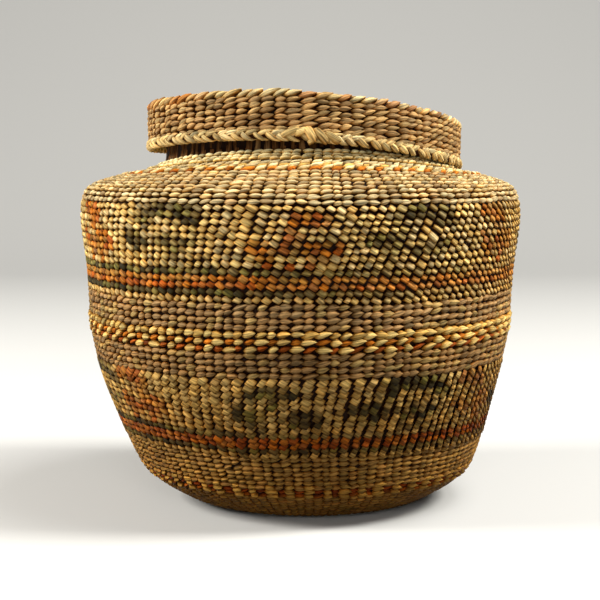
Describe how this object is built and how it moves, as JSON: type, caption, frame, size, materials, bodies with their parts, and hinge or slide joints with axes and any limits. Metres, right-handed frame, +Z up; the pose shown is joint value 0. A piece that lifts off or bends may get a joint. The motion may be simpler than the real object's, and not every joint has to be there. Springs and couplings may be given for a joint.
{
  "type": "lidded basket",
  "caption": "Round twined grass basket with a full belly, a broad shoulder, a short neck and a loose flat lid with a braided rim.",
  "frame": {"origin": "on the table, under the middle of the widest row", "axes": "+Z up, -Y towards the side the picture shows, +X to that side's right"},
  "size_m": [0.1638, 0.1639, 0.1523],
  "materials": {
    "tan_grass": "twined dried grass, matt with a faint dry sheen",
    "straw_grass": "paler twined grass, matt",
    "figure_grass": "wrapped twining in straw, faded green, dark brown and orange strands",
    "stripe_grass": "wrapped twining in rust, orange and dark green strands",
    "check_grass": "bold twining with straw and orange strands in turn",
    "lid_grass": "brownish twined grass, matt",
    "braid_grass": "three-strand grass braid, matt",
    "warp_grass": "brown split-grass warps, dry and fibrous"
  },
  "bodies": {
    "basket": {"base_start": "warp_grass", "base_panel": "tan_grass", "foot_turn_rows": "tan_grass", "lower_check_rows": "check_grass", "lower_plain_rows": "tan_grass", "lower_stripe_rows": "stripe_grass", "lower_figure_band": "figure_grass", "belly_plain_rows": "tan_grass", "belly_check_rows": "check_grass", "waist_plain_rows": "tan_grass", "upper_stripe_rows": "stripe_grass", "upper_figure_band": "figure_grass", "shoulder_plain_rows": "straw_grass", "shoulder_check_rows": "check_grass", "neck_foot_rows": "straw_grass", "neck_rows": "warp_grass", "neck_rim": "warp_grass"},
    "lid": {"lid_wall": "lid_grass", "lid_edge_row": "check_grass", "lid_border_rows": "lid_grass", "lid_check_rows": "check_grass", "lid_panel": "lid_grass", "lid_start": "warp_grass", "lid_rim_braid": "braid_grass", "lid_braid_end": "braid_grass"}
  },
  "joints": [
    {"name": "lid_lift", "type": "slide", "parent": "basket", "child": "lid", "axis": [0, 0, 1], "range_m": [0, 0.07]}
  ]
}
